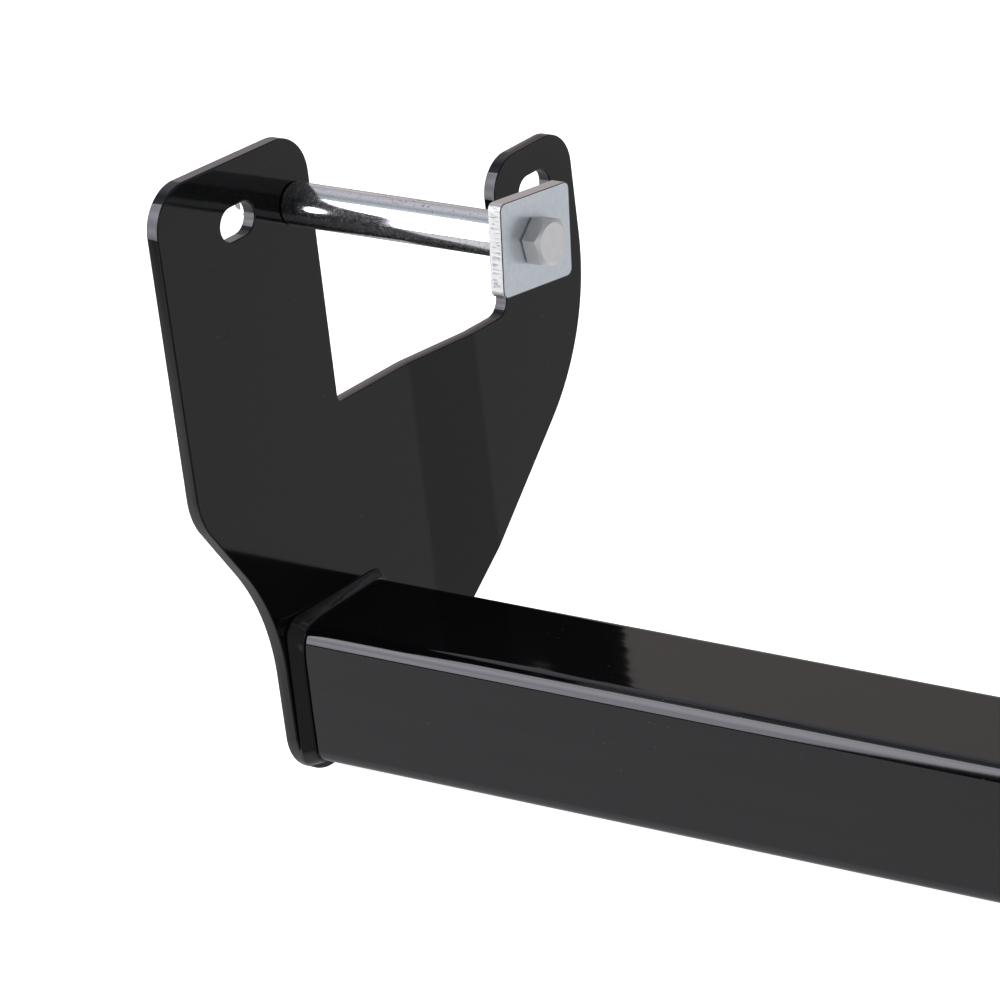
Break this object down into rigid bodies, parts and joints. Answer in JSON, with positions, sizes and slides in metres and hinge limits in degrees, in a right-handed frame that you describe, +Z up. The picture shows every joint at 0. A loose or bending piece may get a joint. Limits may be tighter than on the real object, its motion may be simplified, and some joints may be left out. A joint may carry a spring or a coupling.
{
  "type": "front trailer hitch",
  "caption": "Front receiver hitch: square crossbar with joggled end plates that bolt to a vehicle's frame rails, and a square receiver socket with a pin hole.",
  "frame": {"origin": "middle of the receiver's hitch-pin hole, half way between the end plates", "axes": "+X along the crossbar, to the right of someone who faces the vehicle's front; -Y out of the socket's mouth, towards the vehicle's front; +Z up"},
  "size_m": [0.9966, 0.3292, 0.2707],
  "materials": {
    "powder_coat": "gloss black powder coat on steel",
    "bright_zinc": "bright zinc plate on steel tube, mirror-like",
    "sheared_zinc": "pale zinc plate on sheared steel bar",
    "grey_zinc": "dull grey zinc plate on steel"
  },
  "bodies": {
    "hitch_frame": {"crossbar": "powder_coat", "left_side_plate": "powder_coat", "right_side_plate": "powder_coat", "left_plate_weld": "powder_coat", "right_plate_weld": "powder_coat", "receiver_tube": "powder_coat", "receiver_collar": "powder_coat", "collar_weld": "powder_coat", "receiver_weld": "powder_coat", "left_gusset": "powder_coat", "right_gusset": "powder_coat"},
    "left_sleeve": {"left_spacer_sleeve": "bright_zinc"},
    "left_clamp_plate": {"left_plate_washer": "sheared_zinc"},
    "left_bolt": {"left_through_bolt": "grey_zinc"},
    "left_washer_stack": {"left_flat_washer": "grey_zinc", "left_lock_washer": "grey_zinc"},
    "left_nut_body": {"left_nut": "grey_zinc"},
    "right_sleeve": {"right_spacer_sleeve": "bright_zinc"},
    "right_clamp_plate": {"right_plate_washer": "sheared_zinc"},
    "right_bolt": {"right_through_bolt": "grey_zinc"},
    "right_washer_stack": {"right_flat_washer": "grey_zinc", "right_lock_washer": "grey_zinc"},
    "right_nut_body": {"right_nut": "grey_zinc"}
  },
  "joints": [
    {"name": "left_sleeve_turn", "type": "hinge", "parent": "hitch_frame", "child": "left_sleeve", "pos_m": [-0.47, 0.0914, 0.1994], "axis": [-1, 0, 0], "continuous": true},
    {"name": "left_plate_washer_turn", "type": "hinge", "parent": "hitch_frame", "child": "left_clamp_plate", "pos_m": [-0.47, 0.0914, 0.1994], "axis": [-1, 0, 0], "continuous": true},
    {"name": "left_bolt_turn", "type": "hinge", "parent": "hitch_frame", "child": "left_bolt", "pos_m": [-0.47, 0.0914, 0.1994], "axis": [-1, 0, 0], "continuous": true},
    {"name": "left_nut_travel", "type": "slide", "parent": "hitch_frame", "child": "left_washer_stack", "axis": [-1, 0, 0], "range_m": [0, 0.015]},
    {"name": "left_nut_turn", "type": "hinge", "parent": "left_washer_stack", "child": "left_nut_body", "pos_m": [-0.47, 0.0914, 0.1994], "axis": [-1, 0, 0], "range_deg": [0, 3080]},
    {"name": "right_sleeve_turn", "type": "hinge", "parent": "hitch_frame", "child": "right_sleeve", "pos_m": [0.47, 0.0914, 0.1994], "axis": [1, 0, 0], "continuous": true},
    {"name": "right_plate_washer_turn", "type": "hinge", "parent": "hitch_frame", "child": "right_clamp_plate", "pos_m": [0.47, 0.0914, 0.1994], "axis": [1, 0, 0], "continuous": true},
    {"name": "right_bolt_turn", "type": "hinge", "parent": "hitch_frame", "child": "right_bolt", "pos_m": [0.47, 0.0914, 0.1994], "axis": [1, 0, 0], "continuous": true},
    {"name": "right_nut_travel", "type": "slide", "parent": "hitch_frame", "child": "right_washer_stack", "axis": [1, 0, 0], "range_m": [0, 0.015]},
    {"name": "right_nut_turn", "type": "hinge", "parent": "right_washer_stack", "child": "right_nut_body", "pos_m": [0.47, 0.0914, 0.1994], "axis": [1, 0, 0], "range_deg": [0, 3080]}
  ],
  "couplings": [
    {"joint": "left_nut_travel", "follows": "left_nut_turn", "m_per_rad": 0.00027852},
    {"joint": "right_nut_travel", "follows": "right_nut_turn", "m_per_rad": 0.00027852}
  ]
}
